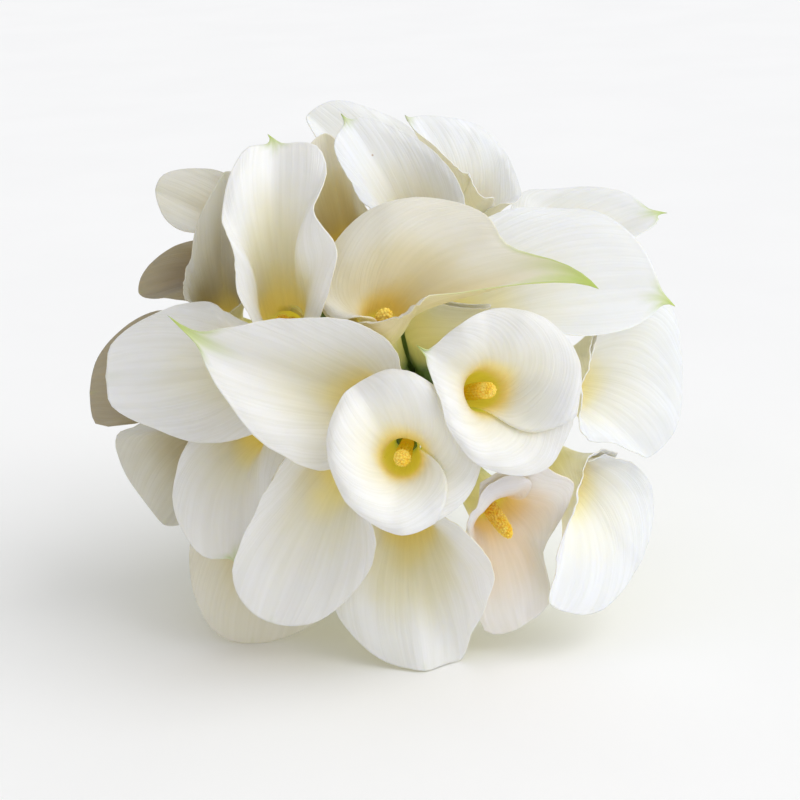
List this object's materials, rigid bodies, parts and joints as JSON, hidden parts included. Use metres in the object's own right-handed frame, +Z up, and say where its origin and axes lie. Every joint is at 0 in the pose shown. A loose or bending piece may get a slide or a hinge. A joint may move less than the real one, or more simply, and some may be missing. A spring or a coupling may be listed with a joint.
{
  "type": "bridal bouquet",
  "caption": "Hand-tied bridal bouquet of white calla lilies with yellow spadices, a round head on straight green stems bound by a satin ribbon, lying on its side.",
  "frame": {"origin": "centre of the bounding box's footprint, on the surface that the bouquet lies on", "axes": "+Z up; the flowers face -Y and the cut stem ends point to +Y; +X is to the right of someone who looks into the flowers"},
  "size_m": [0.2716, 0.3332, 0.2361],
  "materials": {
    "spathe_white": "soft satin petal, white to cream",
    "spadix_yellow": "granular, matte, golden yellow",
    "stem_green": "smooth waxy green",
    "ribbon_satin": "ivory satin"
  },
  "bodies": {
    "root": {"spathe_B": "spathe_white", "spadix_B": "spadix_yellow", "spathe_A": "spathe_white", "spadix_A": "spadix_yellow", "spathe_D": "spathe_white", "spadix_D": "spadix_yellow", "spathe_E": "spathe_white", "spadix_E": "spadix_yellow", "spathe_C": "spathe_white", "spadix_C": "spadix_yellow", "spathe_M": "spathe_white", "spadix_M": "spadix_yellow", "spathe_P": "spathe_white", "spadix_P": "spadix_yellow", "spathe_O": "spathe_white", "spadix_O": "spadix_yellow", "spathe_N": "spathe_white", "spadix_N": "spadix_yellow", "spathe_J": "spathe_white", "spadix_J": "spadix_yellow", "spathe_L": "spathe_white", "spadix_L": "spadix_yellow", "spathe_F": "spathe_white", "spadix_F": "spadix_yellow", "spathe_S": "spathe_white", "spadix_S": "spadix_yellow", "spathe_Q": "spathe_white", "spadix_Q": "spadix_yellow", "spathe_G": "spathe_white", "spadix_G": "spadix_yellow", "spathe_Y": "spathe_white", "spadix_Y": "spadix_yellow", "spathe_I": "spathe_white", "spadix_I": "spadix_yellow", "spathe_X": "spathe_white", "spadix_X": "spadix_yellow", "spathe_V": "spathe_white", "spadix_V": "spadix_yellow", "spathe_H": "spathe_white", "spadix_H": "spadix_yellow", "spathe_U": "spathe_white", "spadix_U": "spadix_yellow", "spathe_R": "spathe_white", "spadix_R": "spadix_yellow", "spathe_W": "spathe_white", "spadix_W": "spadix_yellow", "spathe_T": "spathe_white", "spadix_T": "spadix_yellow", "stems_1": "stem_green", "stems_2": "stem_green", "stems_3": "stem_green", "stems_4": "stem_green", "stems_5": "stem_green", "stems_6": "stem_green", "stems_7": "stem_green", "stems_8": "stem_green", "stems_9": "stem_green", "ribbon": "ribbon_satin"}
  },
  "joints": []
}
